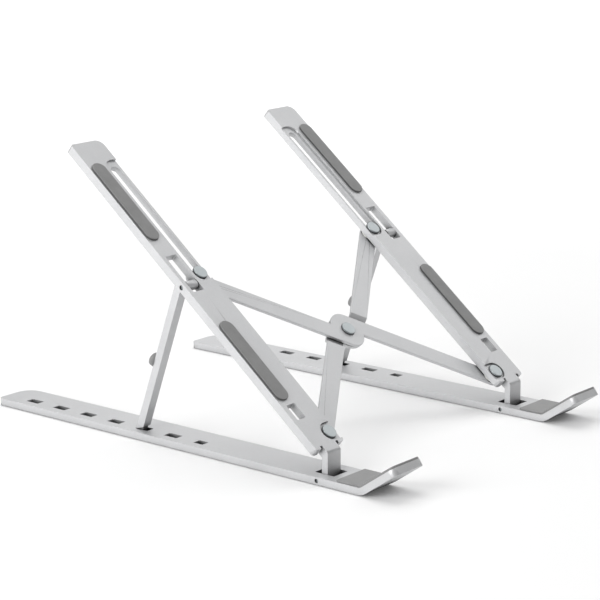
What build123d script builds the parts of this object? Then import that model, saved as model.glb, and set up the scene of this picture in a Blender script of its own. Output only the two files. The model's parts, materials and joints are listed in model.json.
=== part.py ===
from build123d import *
import os
from math import asin, atan2, cos, degrees, radians, sin, sqrt, tan

# Folding laptop stand. X is left to right, Y is front to rear, Z is up, all in mm.
# Each side has a base rail, an inclined arm and a strut. Two cross bars join the sides as a scissor.
# Left-hand pieces are modelled and mirrored about the middle.

# Base rails
FOOT_T = 0.4  # foot pad under the rail
RAIL_REAR_Y = 123.5
RAIL_X = 71.1  # centre line of each rail
RAIL_W = 21.2
RAIL_T = 3.4
RAIL_BOTTOM_Z = FOOT_T
RAIL_TOP_Z = FOOT_T + RAIL_T
SMALL_CORNER_R = 2.7
LARGE_CORNER_R = 7.8
HOOK_ANGLE = 35.0
HOOK_BEND_Y = -104.1  # where the top face starts to rise
HOOK_LENGTH = 21.3
HOOK_INNER_R = 2.6
HOOK_OUTER_R = 9.0
HOOK_CORNER_R = 3.0

# Height slots in the rails
SLOT_COUNT = 7
SLOT_FIRST = 19.2  # rear end of the rail to the first slot's centre
SLOT_PITCH = 18.53
SLOT_L = 7.8
SLOT_W = 4.6
LAST_SLOT_L = 5.6
STRUT_X = 74.8  # slots, arm windows and struts share this line
SLOT_CORNER_R = 0.4

# Base hinge
PIN_Y = -80.0
PIN_Z = RAIL_BOTTOM_Z + RAIL_T / 2
PIN_R = 1.0
PIN_RECESS = 1.0  # each pin ends this far inside its hole
PIN_PLAY = 0.05
HINGE_WINDOW_L = 10.8
HINGE_WINDOW_W = 9.7
TONGUE_W = 9.2
TONGUE_T = 3.2

# Arms, in the arm's own directions: across is X, along is the distance from the hinge pin, up is the normal
ARM_TILT = 39.2
ARM_X = (-80.5, -61.0)
ARM_T = 4.3
ARM_UNDER = 5.9  # arm's underside above the hinge pin
ARM_TOP = ARM_UNDER + ARM_T
ARM_ALONG = (9.0, 199.5)
ARM_SMALL_R = 1.4  # rear corner on -X
ARM_LARGE_R = 4.0  # rear corner on +X
EAR_R = 1.8
NOTCH_W = 1.5  # gap between the tongue and each front ear
NOTCH_END = 10.4
TONGUE_JOIN = 13.0
BEND_OUTER_R = 2.0
BEND_INNER_R = 0.8
UPPER_WINDOW_X = (-78.1, -71.0)
UPPER_WINDOW = (104.0, 126.2)
LOWER_WINDOW = (26.0, 34.6)
LOWER_WINDOW_W = 5.6
WINDOW_CORNER_R = 0.6
POCKET_DEPTH = 0.6  # the underside is hollowed, leaving walls along both edges
POCKET_X = (-79.0, -62.0)
POCKET_ALONG = (24.0, 192.0)
POCKET_R = 1.0
BOSS_X = (-79.0, -69.5)  # full-thickness block that carries the strut's pin
BOSS_ALONG = (106.3, 113.0)

# Rivets and their recesses
PIVOT_X = 65.0
FRONT_PIVOT = 15.8
SLIDER_REST = 113.7
RECESS_DEPTH = 1.0
RECESS_R = 4.9
RECESS_X = (-69.6, -58.0)
RECESS_END = 186.6
LONG_SLOT_X = (-68.1, -62.4)
LONG_SLOT_END = 183.0
HEAD_R = 3.5
HEAD_T = 0.8
HEAD_EDGE = 0.25
SHANK_R = 2.0
SLIDER_SHANK_R = 2.1
TAIL_R = 3.2
TAIL_T = 0.8
FACE_GAP = 0.1  # between faces that turn on each other
HEAD_WASHER_R = 3.65
HEAD_WASHER_T = 0.4

# Cross bars
BAR_T = 1.5
BAR_W = 9.0
BAR_OFFSET = 4.9  # each half bar lies this far to one side of the centre rivet
WASHER_T = 0.5
WASHER_R = 4.0
BUSHING_R = 2.5  # slider bushings reach up through the long slots
CENTRE_WASHER_T = 0.4
PAD_HALF_L = 9.0
UPPER_PAD_R = 7.5
LOWER_PAD_R = 8.9
JOGGLE_START = 10.9  # measured square to the other bar
JOGGLE_END = 13.4

# Struts, in the strut's own directions from its pin: back is behind the strut, up is along it
STRUT_PIVOT = 109.2
STRUT_LEAN = 20.0
STRUT_W = 4.9
STRUT_BACK = (2.6, 6.5)
KNUCKLE_R = 2.4
KNUCKLE_W = 6.2
STRUT_TOP = (4.55, -2.7)  # centre of the body's rounded top end
LINK_R = 1.7
STRUT_PIN_R = 1.2
STRUT_LIFT = 0.1  # gap under the strut's heel
FOOT_CHAMFER = 1.4
TOE_W = 3.2
TOE_BACK = (3.1, 5.4)
TOE_DEPTH = 1.8
STRUT_PIN_IN = 10.2  # outer face of the arm to the end of the pin hole
BUMPER_R = 3.3
BUMPER_T = 3.0
BUMPER_EDGE_R = 0.7
BUMPER_DOWN = 44.0

# Silicone pads
ARM_PAD_X = -75.9
ARM_PAD_W = 7.9
ARM_PAD_PROUD = 1.1
ARM_PAD_SUNK = 0.6
UPPER_PAD = (136.2, 185.6)
LOWER_PAD = (37.2, 84.7)
HOOK_PAD_T = 1.0
HOOK_PAD_W = 20.2
HOOK_PAD_REAR_Y = -90.8
FOOT_PAD_CORNER_R = 2.5
FRONT_FOOT_Y = (-103.5, -89.0)
FRONT_FOOT_X = (-78.5, -63.7)
REAR_FOOT_Y = (78.0, 117.0)
REAR_FOOT_X = (-70.9, -62.9)

# Derived places
tilt = radians(ARM_TILT)
lean = radians(STRUT_LEAN)
hook = radians(HOOK_ANGLE)
ARM_NORMAL = Vector(0, -sin(tilt), cos(tilt))
arm_plane = Plane(origin=(0, PIN_Y, PIN_Z), x_dir=(1, 0, 0), z_dir=ARM_NORMAL)
PAD_SEAT = ARM_TOP - ARM_PAD_SUNK
RECESS_FLOOR = ARM_TOP - RECESS_DEPTH
BAR_TOP = ARM_UNDER - WASHER_T - FACE_GAP
BAR_UNDER = BAR_TOP - BAR_T
LOW_TOP = BAR_UNDER - CENTRE_WASHER_T - FACE_GAP  # top of the lower bar's centre
LOW_UNDER = LOW_TOP - BAR_T
CENTRE_ALONG = (FRONT_PIVOT + SLIDER_REST) / 2
HALF_RISE = (SLIDER_REST - FRONT_PIVOT) / 2
PIVOT_REACH = sqrt(PIVOT_X**2 + HALF_RISE**2)  # centre rivet to an end rivet
HALF_BAR_L = sqrt(PIVOT_REACH**2 - BAR_OFFSET**2)
BAR_ANGLE = degrees(atan2(HALF_RISE, PIVOT_X) + asin(BAR_OFFSET / PIVOT_REACH))
STRUT_PIN_UP = ARM_UNDER + ARM_T / 2
STRUT_PIN_Y = PIN_Y + STRUT_PIVOT * cos(tilt) - STRUT_PIN_UP * sin(tilt)
STRUT_PIN_Z = PIN_Z + STRUT_PIVOT * sin(tilt) + STRUT_PIN_UP * cos(tilt)
STRUT_PIN_INNER = ARM_X[0] + STRUT_PIN_IN

os.makedirs("parts", exist_ok=True)


def save(part, name):
    """Label a finished piece and write it as its own STEP file."""
    part.label = name
    export_step(part, f"parts/{name}.step")


def save_both_sides(part, name):
    """Write a left-hand piece and its mirror image."""
    save(part, f"{name}_left")
    save(mirror(part, about=Plane.YZ), f"{name}_right")


def span(centre, width):
    """Limits of a span of the given width about a centre."""
    return centre - width / 2, centre + width / 2


def rectangle_between(x_limits, y_limits, corner_r=0.0):
    """Draw a rectangle, given by its limits, in the current sketch."""
    width = x_limits[1] - x_limits[0]
    length = y_limits[1] - y_limits[0]
    with Locations((x_limits[0] + width / 2, y_limits[0] + length / 2)):
        if corner_r:
            RectangleRounded(width, length, corner_r)
        else:
            Rectangle(width, length)


def disc(centre_x, centre_y, radius):
    """Draw a circle in the current sketch."""
    with Locations((centre_x, centre_y)):
        Circle(radius)


# Base rails
def rail_section(under, over, rear_y, under_r):
    """Side outline of a strip along the rail's top face and hook, between two heights above that face."""

    def corner(height):
        return HOOK_BEND_Y + height * tan(hook / 2), RAIL_TOP_Z + height

    def tip(height):
        tip_y = HOOK_BEND_Y - HOOK_LENGTH * cos(hook) + height * sin(hook)
        return tip_y, RAIL_TOP_Z + HOOK_LENGTH * sin(hook) + height * cos(hook)

    with BuildSketch(Plane.YZ) as section:
        with BuildLine():
            Polyline(
                (rear_y, RAIL_TOP_Z + under),
                corner(under),
                tip(under),
                tip(over),
                corner(over),
                (rear_y, RAIL_TOP_Z + over),
                close=True,
            )
        make_face()
        fillet(section.vertices().sort_by_distance((*corner(under), 0))[0], under_r)
        fillet(section.vertices().sort_by_distance((*corner(over), 0))[0], HOOK_INNER_R - over)
    return section.sketch


def base_rail(side):
    """Rail with its slots outboard. Both rails have the small rear corner on -X and the large one on +X."""
    rail_x = side * RAIL_X
    with BuildPart() as rail:
        add(Pos(rail_x - RAIL_W / 2, 0, 0) * rail_section(-RAIL_T, 0, RAIL_REAR_Y, HOOK_OUTER_R))
        extrude(amount=RAIL_W, dir=(1, 0, 0))
        rear_corners = rail.edges().filter_by(Axis.Z).group_by(Axis.Y)[-1].sort_by(Axis.X)
        fillet(rear_corners[0], SMALL_CORNER_R)
        fillet(rail.edges().filter_by(Axis.Z).group_by(Axis.X)[-1], LARGE_CORNER_R)
        tip_edges = rail.faces().sort_by(Axis.Y)[0].edges().filter_by(Axis.X, reverse=True)
        fillet(tip_edges, HOOK_CORNER_R)
        with BuildSketch(Plane.XY.offset(RAIL_TOP_Z)):
            for slot in range(SLOT_COUNT):
                length = LAST_SLOT_L if slot == SLOT_COUNT - 1 else SLOT_L
                rear_end = RAIL_REAR_Y - SLOT_FIRST - slot * SLOT_PITCH + SLOT_L / 2
                rectangle_between(span(side * STRUT_X, SLOT_W), (rear_end - length, rear_end), SLOT_CORNER_R)
            rectangle_between(span(rail_x, HINGE_WINDOW_W), span(PIN_Y, HINGE_WINDOW_L), SLOT_CORNER_R)
        extrude(amount=-RAIL_T, mode=Mode.SUBTRACT)
        with BuildSketch(Plane.YZ.offset(rail_x)):
            disc(PIN_Y, PIN_Z, PIN_R)
        extrude(amount=RAIL_W, both=True, mode=Mode.SUBTRACT)
    return rail.part


save(base_rail(-1), "base_rail_left")
save(base_rail(1), "base_rail_right")

with BuildPart() as base_hinge_pin:
    with BuildSketch(Plane.YZ.offset(-RAIL_X)):
        disc(PIN_Y, PIN_Z, PIN_R)
    extrude(amount=RAIL_W / 2 - PIN_RECESS, both=True)
save_both_sides(base_hinge_pin.part, "base_hinge_pin")

with BuildPart() as hook_pad:
    add(Pos(-RAIL_X - HOOK_PAD_W / 2, 0, 0) * rail_section(0, HOOK_PAD_T, HOOK_PAD_REAR_Y, HOOK_INNER_R))
    extrude(amount=HOOK_PAD_W, dir=(1, 0, 0))
    pad_tip = hook_pad.faces().sort_by(Axis.Y)[0].edges().filter_by(Axis.X, reverse=True)
    fillet(pad_tip, HOOK_CORNER_R - (RAIL_W - HOOK_PAD_W) / 2)
save_both_sides(hook_pad.part, "hook_pad")

with BuildPart() as foot_front:
    with BuildSketch():
        rectangle_between(FRONT_FOOT_X, FRONT_FOOT_Y, FOOT_PAD_CORNER_R)
    extrude(amount=FOOT_T)
save_both_sides(foot_front.part, "foot_front")

with BuildPart() as foot_rear:
    with BuildSketch():
        rectangle_between(REAR_FOOT_X, REAR_FOOT_Y, FOOT_PAD_CORNER_R)
    extrude(amount=FOOT_T)
save_both_sides(foot_rear.part, "foot_rear")

# Arm: plate with a hollowed underside and a tongue bent down to the hinge pin
def lifting_arm(outer_r, inner_r):
    """Left-hand arm with the given radii on the outer and inner rear corners."""
    with BuildPart() as arm:
        with BuildSketch(arm_plane.offset(ARM_UNDER)) as outline:
            rectangle_between(ARM_X, ARM_ALONG)
            fillet(outline.vertices().group_by(Axis.Y)[-1].sort_by(Axis.X)[0], outer_r)
            fillet(outline.vertices().group_by(Axis.Y)[-1].sort_by(Axis.X)[-1], inner_r)
            fillet(outline.vertices().group_by(Axis.Y)[0], EAR_R)
            with Locations((-RAIL_X, NOTCH_END)):
                Rectangle(TONGUE_W + 2 * NOTCH_W, 2 * NOTCH_END, align=(Align.CENTER, Align.MAX), mode=Mode.SUBTRACT)
        extrude(amount=ARM_T)
        with BuildSketch(arm_plane.offset(ARM_UNDER)):
            rectangle_between(POCKET_X, POCKET_ALONG, POCKET_R)
            with Locations((sum(BOSS_X) / 2, sum(BOSS_ALONG) / 2)):
                Rectangle(BOSS_X[1] - BOSS_X[0], BOSS_ALONG[1] - BOSS_ALONG[0], mode=Mode.SUBTRACT)
        extrude(amount=POCKET_DEPTH, mode=Mode.SUBTRACT)
        with BuildSketch(Plane.YZ.offset(-RAIL_X)) as tongue:
            front_y = PIN_Y - TONGUE_T / 2
            rear_y = PIN_Y + TONGUE_T / 2
            front_along = (ARM_TOP * sin(tilt) - TONGUE_T / 2) / cos(tilt)
            rear_along = (ARM_UNDER * sin(tilt) + TONGUE_T / 2) / cos(tilt)
            outer_bend = (front_y, PIN_Z + front_along * sin(tilt) + ARM_TOP * cos(tilt))
            inner_bend = (rear_y, PIN_Z + rear_along * sin(tilt) + ARM_UNDER * cos(tilt))
            join_top = arm_plane.from_local_coords((0, TONGUE_JOIN, ARM_TOP))
            join_under = arm_plane.from_local_coords((0, TONGUE_JOIN, ARM_UNDER))
            with BuildLine():
                Polyline(
                    (front_y, PIN_Z),
                    outer_bend,
                    (join_top.Y, join_top.Z),
                    (join_under.Y, join_under.Z),
                    inner_bend,
                    (rear_y, PIN_Z),
                    close=True,
                )
            make_face()
            fillet(tongue.vertices().sort_by_distance((*outer_bend, 0))[0], BEND_OUTER_R)
            fillet(tongue.vertices().sort_by_distance((*inner_bend, 0))[0], BEND_INNER_R)
            disc(PIN_Y, PIN_Z, TONGUE_T / 2)
        extrude(amount=TONGUE_W / 2, both=True)
        with BuildSketch(Plane.YZ.offset(-RAIL_X)):
            disc(PIN_Y, PIN_Z, PIN_R + PIN_PLAY)
        extrude(amount=TONGUE_W, both=True, mode=Mode.SUBTRACT)
        with BuildSketch(arm_plane.offset(ARM_UNDER)):
            rectangle_between(UPPER_WINDOW_X, UPPER_WINDOW, WINDOW_CORNER_R)
            rectangle_between(span(-STRUT_X, LOWER_WINDOW_W), LOWER_WINDOW, WINDOW_CORNER_R)
            slot_w = LONG_SLOT_X[1] - LONG_SLOT_X[0]
            rectangle_between(LONG_SLOT_X, (SLIDER_REST - slot_w / 2, LONG_SLOT_END), slot_w / 2.01)
            disc(-PIVOT_X, FRONT_PIVOT, SHANK_R)
        extrude(amount=ARM_T, mode=Mode.SUBTRACT)
        with BuildSketch(arm_plane.offset(ARM_TOP)):
            rectangle_between(RECESS_X, (SLIDER_REST - RECESS_R, RECESS_END), RECESS_R)
            rectangle_between((-PIVOT_X, 0), span(FRONT_PIVOT, 2 * RECESS_R))
            disc(-PIVOT_X, FRONT_PIVOT, RECESS_R)
        extrude(amount=-RECESS_DEPTH, mode=Mode.SUBTRACT)
        with BuildSketch(arm_plane.offset(ARM_TOP)):
            for limits in (UPPER_PAD, LOWER_PAD):
                rectangle_between(span(ARM_PAD_X, ARM_PAD_W), limits, ARM_PAD_W / 2.01)
        extrude(amount=-ARM_PAD_SUNK, mode=Mode.SUBTRACT)
        with BuildSketch(Plane.YZ.offset(STRUT_PIN_INNER)):
            disc(STRUT_PIN_Y, STRUT_PIN_Z, STRUT_PIN_R)
        extrude(amount=-STRUT_PIN_IN, mode=Mode.SUBTRACT)
    return arm.part


save(lifting_arm(ARM_SMALL_R, ARM_LARGE_R), "arm_left")
save(mirror(lifting_arm(ARM_LARGE_R, ARM_SMALL_R), about=Plane.YZ), "arm_right")

with BuildPart() as strut_pin:
    with BuildSketch(Plane.YZ.offset(STRUT_PIN_INNER)):
        disc(STRUT_PIN_Y, STRUT_PIN_Z, STRUT_PIN_R)
    extrude(amount=PIN_RECESS - STRUT_PIN_IN)
save_both_sides(strut_pin.part, "strut_pin")

for name, limits in (("arm_pad_upper", UPPER_PAD), ("arm_pad_lower", LOWER_PAD)):
    with BuildPart() as arm_pad:
        with BuildSketch(arm_plane.offset(PAD_SEAT)):
            rectangle_between(span(ARM_PAD_X, ARM_PAD_W), limits, ARM_PAD_W / 2.01)
        extrude(amount=ARM_PAD_SUNK + ARM_PAD_PROUD)
    save_both_sides(arm_pad.part, name)

# Strut: slender leg from a knuckle in the arm's window down to a toe in a rail slot
strut_plane = Plane(origin=(-STRUT_X, STRUT_PIN_Y, STRUT_PIN_Z), x_dir=(0, cos(lean), sin(lean)), z_dir=(1, 0, 0))


def up_strut(back, world_z):
    """Distance along the strut, from its pin, of the point at a given distance behind it and world height."""
    return (world_z - STRUT_PIN_Z - back * sin(lean)) / cos(lean)


with BuildPart() as strut:
    with BuildSketch(strut_plane):
        top_back, top_up = STRUT_TOP
        with BuildLine():
            Polyline(
                (STRUT_BACK[0], top_up),
                (STRUT_BACK[0], up_strut(STRUT_BACK[0], RAIL_TOP_Z + FOOT_CHAMFER)),
                (STRUT_BACK[1], up_strut(STRUT_BACK[1], RAIL_TOP_Z + STRUT_LIFT)),
                (STRUT_BACK[1], top_up),
                close=True,
            )
        make_face()
        disc(top_back, top_up, (STRUT_BACK[1] - STRUT_BACK[0]) / 2)
        with Locations((top_back / 2, top_up / 2)):
            SlotCenterToCenter(sqrt(top_back**2 + top_up**2), 2 * LINK_R, rotation=degrees(atan2(top_up, top_back)))
    extrude(amount=STRUT_W / 2, both=True)
    with BuildSketch(strut_plane):
        Circle(KNUCKLE_R)
    extrude(amount=KNUCKLE_W / 2, both=True)
    with BuildSketch(strut_plane):
        toe_end = up_strut(sum(TOE_BACK) / 2, RAIL_TOP_Z - TOE_DEPTH)
        toe_root = up_strut(sum(TOE_BACK) / 2, RAIL_TOP_Z + 2 * FOOT_CHAMFER)
        rectangle_between(TOE_BACK, (toe_end, toe_root))
    extrude(amount=TOE_W / 2, both=True)
    with BuildSketch(strut_plane):
        Circle(STRUT_PIN_R + PIN_PLAY)
    extrude(amount=KNUCKLE_W, both=True, mode=Mode.SUBTRACT)
save_both_sides(strut.part, "strut")

bumper_place = strut_plane.from_local_coords((STRUT_BACK[1], -BUMPER_DOWN, 0))
with BuildPart() as strut_bumper:
    with BuildSketch(Plane(origin=bumper_place, x_dir=(1, 0, 0), z_dir=strut_plane.x_dir)):
        Circle(BUMPER_R)
    extrude(amount=BUMPER_T)
    fillet(strut_bumper.faces().sort_by(Axis.Y)[-1].edges(), BUMPER_EDGE_R)
save_both_sides(strut_bumper.part, "strut_bumper")


# Rivets and washers stand square to the arm
def rivet(across, along, head_bottom, shank_r, tail_top):
    """Head with an eased edge, shank and formed tail, given by their heights above the hinge pin."""
    with BuildPart() as body:
        with BuildSketch(arm_plane.offset(head_bottom)):
            disc(across, along, HEAD_R)
        extrude(amount=HEAD_T)
        head_edges = body.edges().filter_by(GeomType.CIRCLE)
        fillet(head_edges.sort_by(Axis(arm_plane.origin, ARM_NORMAL))[-1], HEAD_EDGE)
        with BuildSketch(arm_plane.offset(tail_top)):
            disc(across, along, shank_r)
        extrude(amount=head_bottom - tail_top)
        with BuildSketch(arm_plane.offset(tail_top)):
            disc(across, along, TAIL_R)
        extrude(amount=-TAIL_T)
    return body.part


def washer(across, along, bottom, thickness, hole_r, outer_r=WASHER_R):
    """Flat ring around a rivet shank."""
    with BuildPart() as ring:
        with BuildSketch(arm_plane.offset(bottom)):
            with Locations((across, along)):
                Circle(outer_r)
                Circle(hole_r, mode=Mode.SUBTRACT)
        extrude(amount=thickness)
    return ring.part


def head_washer(across, along, bottom, hole_r):
    """Thin dark washer under a rivet head."""
    return washer(across, along, bottom, HEAD_WASHER_T, hole_r, HEAD_WASHER_R)


SLIDER_SEAT = RECESS_FLOOR + FACE_GAP
COLLAR_T = SLIDER_SEAT - BAR_TOP - WASHER_T

front_rivet = rivet(-PIVOT_X, FRONT_PIVOT, RECESS_FLOOR + HEAD_WASHER_T, SHANK_R, BAR_UNDER - FACE_GAP)
save_both_sides(front_rivet, "front_rivet")
save_both_sides(head_washer(-PIVOT_X, FRONT_PIVOT, RECESS_FLOOR, SHANK_R), "front_head_washer")
front_washer = washer(-PIVOT_X, FRONT_PIVOT, ARM_UNDER - WASHER_T, WASHER_T, SHANK_R)
save_both_sides(front_washer, "front_washer")

slider_rivet = rivet(-PIVOT_X, SLIDER_REST, SLIDER_SEAT + HEAD_WASHER_T, SLIDER_SHANK_R, BAR_UNDER)
save_both_sides(slider_rivet, "slider_rivet")
save_both_sides(head_washer(-PIVOT_X, SLIDER_REST, SLIDER_SEAT, SLIDER_SHANK_R), "slider_head_washer")
flange = washer(-PIVOT_X, SLIDER_REST, BAR_TOP, WASHER_T, SLIDER_SHANK_R)
collar = washer(-PIVOT_X, SLIDER_REST, BAR_TOP + WASHER_T, COLLAR_T, SLIDER_SHANK_R, BUSHING_R)
save_both_sides(flange + collar, "slider_bushing")

save(rivet(0, CENTRE_ALONG, BAR_TOP + HEAD_WASHER_T, SHANK_R, LOW_UNDER - FACE_GAP), "centre_rivet")
save(head_washer(0, CENTRE_ALONG, BAR_TOP, SHANK_R), "centre_head_washer")
save(washer(0, CENTRE_ALONG, BAR_UNDER - CENTRE_WASHER_T, CENTRE_WASHER_T, SHANK_R), "centre_washer")


# Cross bars: two half bars on opposite sides of a wide centre
def bar_plane(height, turn):
    """Plane over the centre rivet, its X along a half bar turned from the across direction."""
    along_bar = Vector(1, 0, 0).rotate(Axis((0, 0, 0), ARM_NORMAL), turn)
    return Plane(origin=arm_plane.from_local_coords((0, CENTRE_ALONG, height)), x_dir=along_bar, z_dir=ARM_NORMAL)


def bar_outline(centre_r):
    """Wide centre with a half bar to each rounded pivot end, one on either side."""
    RectangleRounded(2 * PAD_HALF_L, BAR_W + 2 * BAR_OFFSET, centre_r)
    for end in (SLIDER_END, FRONT_END):
        rectangle_between(sorted((0, end * HALF_BAR_L)), span(end * BAR_OFFSET, BAR_W))
        disc(end * HALF_BAR_L, end * BAR_OFFSET, BAR_W / 2)


def pivot_holes(end_radii, centre_r):
    """Rivet holes of a cross bar, for its two ends and its centre."""
    for end, radius in end_radii.items():
        disc(end * HALF_BAR_L, end * BAR_OFFSET, radius)
    disc(0, 0, centre_r)


THROUGH = 10 * BAR_T
SLIDER_END, FRONT_END = -1, 1

# The upper bar runs flat from the left slider to the right front rivet
with BuildPart() as cross_bar_upper:
    with BuildSketch(bar_plane(BAR_UNDER, -BAR_ANGLE)):
        bar_outline(UPPER_PAD_R)
    extrude(amount=BAR_T)
    with BuildSketch(bar_plane(BAR_UNDER, -BAR_ANGLE)):
        pivot_holes({SLIDER_END: SLIDER_SHANK_R, FRONT_END: SHANK_R + PIN_PLAY}, SHANK_R)
    extrude(amount=THROUGH, both=True, mode=Mode.SUBTRACT)
save(cross_bar_upper.part, "cross_bar_upper")

# The lower bar is its mirror image, stepped down to pass under the upper one, with steps parallel to it
other_bar = bar_plane(0, BAR_ANGLE)
step_plane = Plane(origin=other_bar.origin, x_dir=other_bar.y_dir, z_dir=other_bar.x_dir)
with BuildPart() as cross_bar_lower:
    with BuildSketch(step_plane):
        with BuildLine():
            Polyline(
                (-HALF_BAR_L * 2, BAR_TOP),
                (-JOGGLE_END, BAR_TOP),
                (-JOGGLE_START, LOW_TOP),
                (JOGGLE_START, LOW_TOP),
                (JOGGLE_END, BAR_TOP),
                (HALF_BAR_L * 2, BAR_TOP),
                (HALF_BAR_L * 2, BAR_UNDER),
                (JOGGLE_END, BAR_UNDER),
                (JOGGLE_START, LOW_UNDER),
                (-JOGGLE_START, LOW_UNDER),
                (-JOGGLE_END, BAR_UNDER),
                (-HALF_BAR_L * 2, BAR_UNDER),
                close=True,
            )
        make_face()
    extrude(amount=HALF_BAR_L * 2, both=True)
    with BuildSketch(bar_plane(0, -BAR_ANGLE)):
        bar_outline(LOWER_PAD_R)
    extrude(amount=THROUGH, both=True, mode=Mode.INTERSECT)
    with BuildSketch(bar_plane(0, -BAR_ANGLE)):
        pivot_holes({SLIDER_END: SLIDER_SHANK_R, FRONT_END: SHANK_R + PIN_PLAY}, SHANK_R + PIN_PLAY)
    extrude(amount=THROUGH, both=True, mode=Mode.SUBTRACT)
save(mirror(cross_bar_lower.part, about=Plane.YZ), "cross_bar_lower")
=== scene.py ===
import json
import math

import bmesh
import bpy
from mathutils import Matrix, Vector


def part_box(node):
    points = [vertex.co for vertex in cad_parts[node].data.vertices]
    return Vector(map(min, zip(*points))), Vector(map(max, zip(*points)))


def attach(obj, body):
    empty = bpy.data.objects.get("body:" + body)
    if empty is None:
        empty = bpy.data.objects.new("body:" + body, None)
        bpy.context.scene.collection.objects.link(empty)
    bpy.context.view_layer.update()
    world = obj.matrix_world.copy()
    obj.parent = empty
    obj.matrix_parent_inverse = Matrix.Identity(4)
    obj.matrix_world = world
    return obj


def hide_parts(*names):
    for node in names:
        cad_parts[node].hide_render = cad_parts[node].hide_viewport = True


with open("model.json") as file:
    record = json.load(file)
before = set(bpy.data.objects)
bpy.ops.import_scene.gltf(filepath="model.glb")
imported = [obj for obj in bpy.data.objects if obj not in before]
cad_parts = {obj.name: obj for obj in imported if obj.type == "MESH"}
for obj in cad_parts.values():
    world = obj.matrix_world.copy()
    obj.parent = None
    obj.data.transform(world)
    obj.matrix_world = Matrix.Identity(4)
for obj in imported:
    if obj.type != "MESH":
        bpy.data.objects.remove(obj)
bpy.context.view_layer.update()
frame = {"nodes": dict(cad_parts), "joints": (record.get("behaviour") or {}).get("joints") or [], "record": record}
scene = bpy.context.scene
nodes = frame["nodes"]
joints = {j["name"]: j for j in frame["joints"]}
SIDES = ("left", "right")
MM = 0.001

# The arm's own directions at rest: across (X), along (away from the hinge pin) and up (the arm's normal)
PIN = Vector(joints["tilt_left"]["pos_m"])
ARM_UP = Vector(joints["scissor_front_left"]["axis"]).normalized()
ACROSS = Vector((1, 0, 0))
ARM_ALONG = ARM_UP.cross(ACROSS).normalized()
ARM_ORIGIN = Vector((0, PIN.y, PIN.z))
arm_frame = Matrix.Translation(ARM_ORIGIN) @ Matrix((ACROSS, ARM_ALONG, ARM_UP)).transposed().to_4x4()


# ---------------------------------------------------------------- materials
def new_material(name):
    """A material with its Principled shader and a helper that adds linked nodes."""
    mat = bpy.data.materials.new(name)
    mat.use_nodes = True
    tree = mat.node_tree
    shader = tree.nodes["Principled BSDF"]

    def add(kind, links=None, **values):
        node = tree.nodes.new(kind)
        for key, value in values.items():
            if key in node.inputs:
                node.inputs[key].default_value = value
            else:
                setattr(node, key, value)
        for socket, source in (links or {}).items():
            tree.links.new(source, node.inputs[socket])
        return node

    def link(source, socket):
        tree.links.new(source, shader.inputs[socket])

    return mat, shader, add, link


def ramp_node(add, source, stops):
    """Colour ramp from a list of (position, colour)."""
    node = add("ShaderNodeValToRGB", {"Fac": source})
    elements = node.color_ramp.elements
    while len(elements) < len(stops):
        elements.new(0.5)
    for element, (position, colour) in zip(elements, stops):
        element.position = position
        element.color = (*colour, 1.0)
    return node


def grey(value, tint=(1.0, 1.0, 1.0)):
    return tuple(value * t for t in tint)


def multiplied(add, tree, first, second):
    """Output of two colours multiplied."""
    mix = add("ShaderNodeMix", data_type="RGBA", blend_type="MULTIPLY")
    mix.inputs[0].default_value = 1.0
    tree.links.new(first, mix.inputs[6])
    tree.links.new(second, mix.inputs[7])
    return mix.outputs[2]


def recess_shade(add, reach, floor_value):
    """Grey factor that falls in slots and gaps narrower than the reach: painted shade where the hollows lie in
    shadow.
    """
    hollow = add("ShaderNodeAmbientOcclusion", Distance=reach)
    hollow.samples = 8
    return ramp_node(add, hollow.outputs["AO"], [(0.25, grey(floor_value)), (0.62, grey(1.0))])


def anodised_aluminium():
    """Fine blasted silver: grain, faint mottling, slight handling marks and painted shade darkening slots and
    gaps.
    """
    mat, shader, add, link = new_material("anodised_aluminium")
    tree = mat.node_tree
    shader.inputs["Metallic"].default_value = 0.55
    coords = add("ShaderNodeTexCoord").outputs["Object"]
    cloud = add("ShaderNodeTexNoise", {"Vector": coords}, Scale=38.0, Detail=4.0, Roughness=0.55)
    grain = add("ShaderNodeTexNoise", {"Vector": coords}, Scale=5200.0, Detail=2.0, Roughness=0.6)
    speck = add("ShaderNodeTexVoronoi", {"Vector": coords}, Scale=2600.0)
    mottled = ramp_node(
        add,
        cloud.outputs["Fac"],
        [(0.3, grey(0.545, (0.99, 0.997, 1.012))), (0.7, grey(0.60, (0.992, 0.997, 1.01)))],
    )
    fine = ramp_node(add, grain.outputs["Fac"], [(0.35, grey(0.93)), (0.65, grey(1.05))])
    # Painted shade: the base colour darkens in slots and gaps
    shade = recess_shade(add, reach=9.0 * MM, floor_value=0.12)
    tinted = multiplied(add, tree, mottled.outputs["Color"], fine.outputs["Color"])
    link(multiplied(add, tree, tinted, shade.outputs["Color"]), "Base Color")
    rough = add("ShaderNodeMapRange", {"Value": cloud.outputs["Fac"]})
    rough.inputs["To Min"].default_value = 0.40
    rough.inputs["To Max"].default_value = 0.52
    link(rough.outputs["Result"], "Roughness")
    height = add("ShaderNodeMath", {0: grain.outputs["Fac"], 1: speck.outputs["Distance"]}, operation="ADD")
    bump = add("ShaderNodeBump", {"Height": height.outputs[0]}, Strength=0.22, Distance=0.00005)
    link(bump.outputs["Normal"], "Normal")
    return mat


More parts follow.
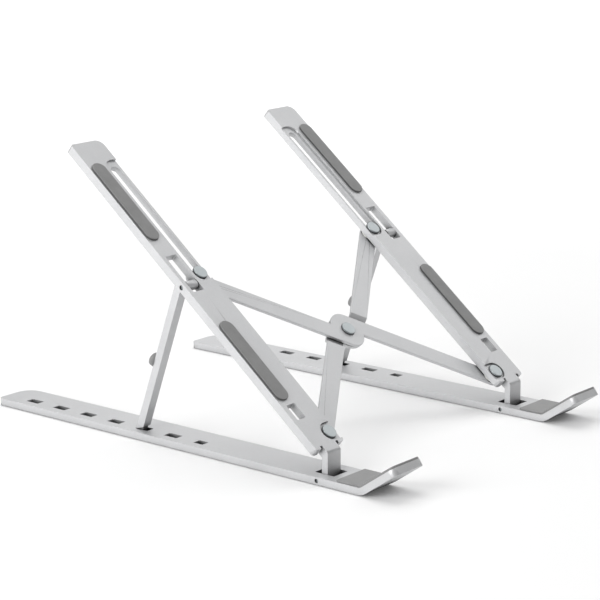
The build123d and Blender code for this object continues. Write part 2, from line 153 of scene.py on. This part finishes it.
def turned_steel():
    """Bluish steel of the rivets: faint turning rings worn smooth and small scratches."""
    mat, shader, add, link = new_material("turned_steel")
    shader.inputs["Metallic"].default_value = 0.75
    coords = add("ShaderNodeTexCoord").outputs["Object"]
    cloud = add("ShaderNodeTexNoise", {"Vector": coords}, Scale=220.0, Detail=5.0, Roughness=0.6)
    colour = ramp_node(
        add,
        cloud.outputs["Fac"],
        [(0.3, (0.36, 0.39, 0.40)), (0.7, (0.42, 0.45, 0.46))],
    )
    link(colour.outputs["Color"], "Base Color")
    rough = add("ShaderNodeMapRange", {"Value": cloud.outputs["Fac"]})
    rough.inputs["To Min"].default_value = 0.28
    rough.inputs["To Max"].default_value = 0.42
    link(rough.outputs["Result"], "Roughness")
    lines = add("ShaderNodeTexNoise", {"Vector": coords}, Scale=2600.0, Detail=3.0)
    bump = add("ShaderNodeBump", {"Height": lines.outputs["Fac"]}, Strength=0.15, Distance=0.00004)
    link(bump.outputs["Normal"], "Normal")
    return mat


def silicone(name, dark, light):
    """Matte moulded silicone: fine pebble, dusty mottling and a soft sheen."""
    mat, shader, add, link = new_material(name)
    shader.inputs["Sheen Weight"].default_value = 0.25
    shader.inputs["Sheen Roughness"].default_value = 0.5
    shader.inputs["Specular IOR Level"].default_value = 0.4
    coords = add("ShaderNodeTexCoord").outputs["Object"]
    cloud = add("ShaderNodeTexNoise", {"Vector": coords}, Scale=160.0, Detail=5.0, Roughness=0.6)
    pebble = add("ShaderNodeTexVoronoi", {"Vector": coords}, Scale=2400.0)
    colour = ramp_node(add, cloud.outputs["Fac"], [(0.3, dark), (0.7, light)])
    link(colour.outputs["Color"], "Base Color")
    rough = add("ShaderNodeMapRange", {"Value": cloud.outputs["Fac"]})
    rough.inputs["To Min"].default_value = 0.55
    rough.inputs["To Max"].default_value = 0.72
    link(rough.outputs["Result"], "Roughness")
    bump = add("ShaderNodeBump", {"Height": pebble.outputs["Distance"]}, Strength=0.2, Distance=0.00006)
    link(bump.outputs["Normal"], "Normal")
    return mat


def nylon(name, dark, light):
    """Plain moulded nylon with faint clouding."""
    mat, shader, add, link = new_material(name)
    coords = add("ShaderNodeTexCoord").outputs["Object"]
    cloud = add("ShaderNodeTexNoise", {"Vector": coords}, Scale=400.0, Detail=3.0)
    colour = ramp_node(add, cloud.outputs["Fac"], [(0.3, dark), (0.7, light)])
    link(colour.outputs["Color"], "Base Color")
    rough = add("ShaderNodeMapRange", {"Value": cloud.outputs["Fac"]})
    rough.inputs["To Min"].default_value = 0.4
    rough.inputs["To Max"].default_value = 0.55
    link(rough.outputs["Result"], "Roughness")
    return mat


ALUMINIUM = anodised_aluminium()
STEEL = turned_steel()
SILICONE = silicone("silicone", (0.20, 0.20, 0.20), (0.24, 0.24, 0.24))
# Darker copy of the silicone for the pads' side walls: painted shade on the flanks
SILICONE_PAINTED_SHADE = silicone("silicone_painted_shade", (0.06, 0.06, 0.06), (0.08, 0.08, 0.08))
NYLON = nylon("nylon", (0.66, 0.66, 0.63), (0.74, 0.74, 0.71))

# Near-black nylon for the washers under the rivet heads: a dark piece that paints the shade in the gap round each
# head
DARK_NYLON_FOR_PAINTED_SHADE = nylon("dark_nylon", (0.045, 0.045, 0.048), (0.07, 0.07, 0.074))

SLOT_MATERIALS = {
    "aluminium": ALUMINIUM,
    "steel": STEEL,
    "silicone": SILICONE,
    "nylon": NYLON,
    "dark_nylon": DARK_NYLON_FOR_PAINTED_SHADE,
}
slot_of = {s["node"]: s["material_slot"] for s in frame["record"]["subparts"]}

# Small eased edges on the metal pieces
EDGE_WIDTHS = {"aluminium": 0.28 * MM, "steel": 0.12 * MM}
EDGE_ANGLE = math.radians(32)
WELD_DISTANCE = 0.001 * MM
for name, node in nodes.items():
    material = SLOT_MATERIALS[slot_of[name]]
    for material_slot in node.material_slots:
        material_slot.material = material
    if slot_of[name] in EDGE_WIDTHS:
        weld = node.modifiers.new("weld", "WELD")
        weld.merge_threshold = WELD_DISTANCE
        bevel = node.modifiers.new("edges", "BEVEL")
        bevel.width = EDGE_WIDTHS[slot_of[name]]
        bevel.segments = 2
        bevel.limit_method = "ANGLE"
        bevel.angle_limit = EDGE_ANGLE
        bevel.harden_normals = True


# ---------------------------------------------------------------- soft pieces
body_of = {n: body for body, members in frame["record"]["behaviour"]["bodies"].items() for n in members}


def limits(node, to_local):
    """Lowest and highest local corner of a CAD node's vertices."""
    points = [to_local @ v.co for v in nodes[node].data.vertices]
    return [(min(p[i] for p in points), max(p[i] for p in points)) for i in range(3)]


def finish_piece(mesh, name, node, material):
    """Make the object of a finished mesh and let it stand for a CAD node."""
    mesh.update()
    obj = bpy.data.objects.new(name, mesh)
    scene.collection.objects.link(obj)
    mesh.materials.append(material)
    for polygon in mesh.polygons:
        polygon.use_smooth = True
    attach(obj, body_of[node])
    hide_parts(node)
    return obj


def ring_lofted(rings):
    """Mesh through closed rings of equal count, capped at both ends."""
    bm = bmesh.new()
    rows = [[bm.verts.new(p) for p in ring] for ring in rings]
    count = len(rows[0])
    for low, high in zip(rows, rows[1:]):
        for i in range(count):
            j = (i + 1) % count
            bm.faces.new((low[i], low[j], high[j], high[i]))
    bm.faces.new(list(reversed(rows[0])))
    bm.faces.new(rows[-1])
    bmesh.ops.recalc_face_normals(bm, faces=bm.faces)
    mesh = bpy.data.meshes.new("piece")
    bm.to_mesh(mesh)
    bm.free()
    return mesh


def rounded_outline(half_x, half_y, radius, steps=10):
    """Points of a rounded rectangle about the origin."""
    points = []
    for quarter, (sx, sy) in enumerate(((1, 1), (-1, 1), (-1, -1), (1, -1))):
        for k in range(steps + 1):
            turn = math.radians(90 * (quarter + k / steps))
            points.append(
                (
                    sx * (half_x - radius) + radius * math.cos(turn),
                    sy * (half_y - radius) + radius * math.sin(turn),
                )
            )
    return points


EDGE_STEPS = 6  # rings round a pad's top edge
CROWN_SHARES = (0.15, 0.4, 0.7, 0.93)  # rings over its crown, as shares of the way in
END_GAP = 0.02 * MM  # keeps round ends from closing to a point


def moulded_block(frame_matrix, x, y, z, corner, edge, crown):
    """Rings of a moulded pad: straight wall, rounded top edge and a slightly crowned top."""
    half_x, half_y = (x[1] - x[0]) / 2, (y[1] - y[0]) / 2
    centre = Vector(((x[0] + x[1]) / 2, (y[0] + y[1]) / 2, 0))
    shoulder = z[1] - edge - crown
    levels = [(0.0, z[0]), (0.0, shoulder)]
    for k in range(1, EDGE_STEPS + 1):
        turn = math.radians(90 * k / EDGE_STEPS)
        levels.append((edge * (1 - math.cos(turn)), shoulder + edge * math.sin(turn)))
    reach = min(half_x, half_y) - edge
    for share in CROWN_SHARES:
        levels.append((edge + reach * share, z[1] - crown + crown * math.sin(math.radians(90 * share))))
    rings = []
    for inset, height in levels:
        outline = rounded_outline(half_x - inset, half_y - inset, max(corner - inset, END_GAP))
        rings.append([frame_matrix @ (centre + Vector((px, py, height))) for px, py in outline])
    return ring_lofted(rings)


to_arm = arm_frame.inverted()
for side in SIDES:
    for place in ("upper", "lower"):
        node = f"arm_pad_{place}_{side}"
        x, y, z = limits(node, to_arm)
        mesh = moulded_block(
            arm_frame, x, y, z, corner=(x[1] - x[0]) / 2 - END_GAP, edge=0.35 * MM, crown=0.05 * MM
        )
        pad = finish_piece(mesh, f"silicone_{node}", node, SILICONE)
        # Side walls of the pad take the darker copy: painted shade
        mesh.materials.append(SILICONE_PAINTED_SHADE)
        for polygon in mesh.polygons:
            if abs(polygon.normal.dot(ARM_UP)) < 0.5:
                polygon.material_index = 1

    for place in ("front", "rear"):
        node = f"foot_{place}_{side}"
        x, y, z = limits(node, Matrix.Identity(4))
        flipped = Matrix.Scale(-1, 4, (0, 0, 1))
        mesh = moulded_block(
            flipped, x, y, (-z[1], -z[0]), corner=2.5 * MM, edge=0.25 * MM, crown=0.0 * MM
        )
        finish_piece(mesh, f"silicone_{node}", node, SILICONE)

STRUT_LEAN = math.radians(20.0)
for side in SIDES:
    node = f"strut_bumper_{side}"
    low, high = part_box(node)
    centre = (Vector(low) + Vector(high)) / 2
    backwards = Vector((0, math.cos(STRUT_LEAN), math.sin(STRUT_LEAN)))
    upwards = backwards.cross(ACROSS)
    bumper_frame = (
        Matrix.Translation(centre) @ Matrix((ACROSS, upwards, backwards)).transposed().to_4x4()
    )
    x, y, z = limits(node, bumper_frame.inverted())
    mesh = moulded_block(
        bumper_frame, x, y, z, corner=(x[1] - x[0]) / 2 - END_GAP, edge=0.7 * MM, crown=0.1 * MM
    )
    finish_piece(mesh, f"silicone_{node}", node, SILICONE)

# ---------------------------------------------------------------- hook pads
HOOK_RISE = math.radians(35.0)
PAD_BEND_R = 2.2 * MM
PAD_CORNER_R = 2.5 * MM


def hook_pad_mesh(x, low, high, thickness):
    """Strip that follows the rail top and the hook, with rounded edges and tip corners."""
    z_base = low.z
    length = (high.z - z_base - thickness * math.cos(HOOK_RISE)) / math.sin(HOOK_RISE)
    tip_base = Vector((low.y, z_base + length * math.sin(HOOK_RISE)))
    bend = Vector((low.y + length * math.cos(HOOK_RISE), z_base))
    rear = Vector((high.y, z_base))
    cut = PAD_BEND_R * math.tan(HOOK_RISE / 2)
    centre = Vector((bend.x + cut, z_base + PAD_BEND_R))
    path = []
    rows_flat, rows_bend, rows_hook = 10, 8, 26  # rows along each stretch of the strip
    for k in range(rows_flat):
        path.append((rear.lerp(Vector((bend.x + cut, z_base)), k / rows_flat), Vector((0, 1))))
    for k in range(rows_bend + 1):
        turn = HOOK_RISE * k / rows_bend
        point = centre + PAD_BEND_R * Vector((-math.sin(turn), -math.cos(turn)))
        path.append((point, Vector((math.sin(turn), math.cos(turn)))))
    hook_start = path[-1][0]
    for k in range(1, rows_hook + 1):
        path.append(
            (hook_start.lerp(tip_base, k / rows_hook), Vector((math.sin(HOOK_RISE), math.cos(HOOK_RISE))))
        )
    travelled = [0.0]
    for (a, _), (b, _) in zip(path, path[1:]):
        travelled.append(travelled[-1] + (b - a).length)
    total = travelled[-1]
    half = (x[1] - x[0]) / 2
    middle = (x[1] + x[0]) / 2
    columns = 24
    bm = bmesh.new()

    def half_width(s):
        """Half width at a distance from the rear edge: the tip corners are round."""
        left = total - s
        if left >= PAD_CORNER_R:
            return half
        return half - PAD_CORNER_R + math.sqrt(max(PAD_CORNER_R**2 - (PAD_CORNER_R - left) ** 2, 0.0))

    def layer(height):
        grid = []
        for (point, normal), s in zip(path, travelled):
            width = half_width(s)
            row = []
            for c in range(columns + 1):
                share = 2 * c / columns - 1
                place = point + normal * height
                row.append(bm.verts.new((middle + share * width, place.x, place.y)))
            grid.append(row)
        return grid

    bottom, top = layer(0.0), layer(thickness)
    for grid in (bottom, top):
        for r in range(len(grid) - 1):
            for c in range(columns):
                bm.faces.new((grid[r][c], grid[r][c + 1], grid[r + 1][c + 1], grid[r + 1][c]))
    rim_bottom = (
        bottom[0] + [row[-1] for row in bottom[1:]] + bottom[-1][-2::-1] + [row[0] for row in bottom[-2:0:-1]]
    )
    rim_top = top[0] + [row[-1] for row in top[1:]] + top[-1][-2::-1] + [row[0] for row in top[-2:0:-1]]
    for i in range(len(rim_bottom)):
        j = (i + 1) % len(rim_bottom)
        bm.faces.new((rim_bottom[i], rim_bottom[j], rim_top[j], rim_top[i]))
    bmesh.ops.recalc_face_normals(bm, faces=bm.faces)
    mesh = bpy.data.meshes.new("hook_pad")
    bm.to_mesh(mesh)
    bm.free()
    return mesh


HOOK_PAD_T = 1.0 * MM
for side in SIDES:
    node = f"hook_pad_{side}"
    low, high = (Vector(corner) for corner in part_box(node))
    mesh = hook_pad_mesh((low.x, high.x), low, high, HOOK_PAD_T)
    pad = finish_piece(mesh, f"silicone_{node}", node, SILICONE)
    bevel = pad.modifiers.new("edges", "BEVEL")
    bevel.width = 0.22 * MM
    bevel.segments = 3
    bevel.limit_method = "ANGLE"
    bevel.angle_limit = math.radians(50)
    bevel.harden_normals = True

# ---------------------------------------------------------------- stage
HALF_FLOOR = 12.0
GLOW_FROM, GLOW_TO = (0.4, 0.06), (2.6, 0.6)  # distance from the middle and the floor's glow there
WORLD_STRENGTH = 0.3
floor_mesh = bpy.data.meshes.new("floor")
floor_corners = [(HALF_FLOOR * x, HALF_FLOOR * y, 0) for x, y in ((-1, -1), (1, -1), (1, 1), (-1, 1))]
floor_mesh.from_pydata(floor_corners, [], [(0, 1, 2, 3)])
floor = bpy.data.objects.new("floor", floor_mesh)
scene.collection.objects.link(floor)
floor_material, floor_shader, add_floor, link_floor = new_material("floor")
floor_shader.inputs["Base Color"].default_value = (0.92, 0.92, 0.92, 1)
floor_shader.inputs["Roughness"].default_value = 0.9
floor_shader.inputs["Specular IOR Level"].default_value = 0.1
floor_shader.inputs["Emission Color"].default_value = (1, 1, 1, 1)
# The floor glows a little more away from the stand, so that it stays an even white
floor_coords = add_floor("ShaderNodeTexCoord").outputs["Object"]
distance = add_floor("ShaderNodeVectorMath", {"Vector": floor_coords}, operation="LENGTH")
glow = add_floor("ShaderNodeMapRange", {"Value": distance.outputs["Value"]})
glow.inputs["From Min"].default_value, glow.inputs["To Min"].default_value = GLOW_FROM
glow.inputs["From Max"].default_value, glow.inputs["To Max"].default_value = GLOW_TO
link_floor(glow.outputs["Result"], "Emission Strength")
floor_mesh.materials.append(floor_material)

world = bpy.data.worlds.new("studio")
world.use_nodes = True
world.node_tree.nodes["Background"].inputs["Color"].default_value = (1, 1, 1, 1)
world.node_tree.nodes["Background"].inputs["Strength"].default_value = WORLD_STRENGTH
scene.world = world


def softbox(name, place, target, size, watts):
    """Square soft light that faces a target."""
    light = bpy.data.lights.new(name, "AREA")
    light.shape = "SQUARE"
    light.size = size
    light.energy = watts
    lamp = bpy.data.objects.new(name, light)
    lamp.location = place
    lamp.rotation_euler = (Vector(target) - Vector(place)).to_track_quat("-Z", "Y").to_euler()
    scene.collection.objects.link(lamp)


# name, place, target, size in metres and power in watts
SOFTBOXES = (
    ("key_left", (-1.9, 0.35, 0.75), (0, 0, 0.06), 1.5, 36),
    ("top", (0.1, 0.5, 1.9), (0, 0, 0.05), 1.9, 19),
    ("fill_right", (1.7, -0.3, 1.35), (0, 0, 0.06), 1.5, 9),
    ("rim_right", (1.7, 1.3, 0.65), (0, 0, 0.03), 1.2, 5),
)
for settings in SOFTBOXES:
    softbox(*settings)

# ---------------------------------------------------------------- camera and colour
CAMERA_PLACE = Vector((-0.7763, -0.6460, 0.2972))
CAMERA_FORWARD = Vector((0.7495, 0.6201, -0.2318)).normalized()
CAMERA_ROLL = math.radians(-0.322)
CAMERA_LENS = 128.7
right = CAMERA_FORWARD.cross(Vector((0, 0, 1))).normalized()
up = right.cross(CAMERA_FORWARD)
rolled_right = right * math.cos(CAMERA_ROLL) + up * math.sin(CAMERA_ROLL)
rolled_up = up * math.cos(CAMERA_ROLL) - right * math.sin(CAMERA_ROLL)
camera_data = bpy.data.cameras.new("camera")
camera_data.lens = CAMERA_LENS
camera_data.sensor_width = 36.0
camera_data.clip_end = 50.0
camera = bpy.data.objects.new("camera", camera_data)
camera.matrix_world = (
    Matrix.Translation(CAMERA_PLACE)
    @ Matrix((rolled_right, rolled_up, -CAMERA_FORWARD)).transposed().to_4x4()
)
scene.collection.objects.link(camera)
scene.camera = camera
scene.view_settings.view_transform = "Standard"
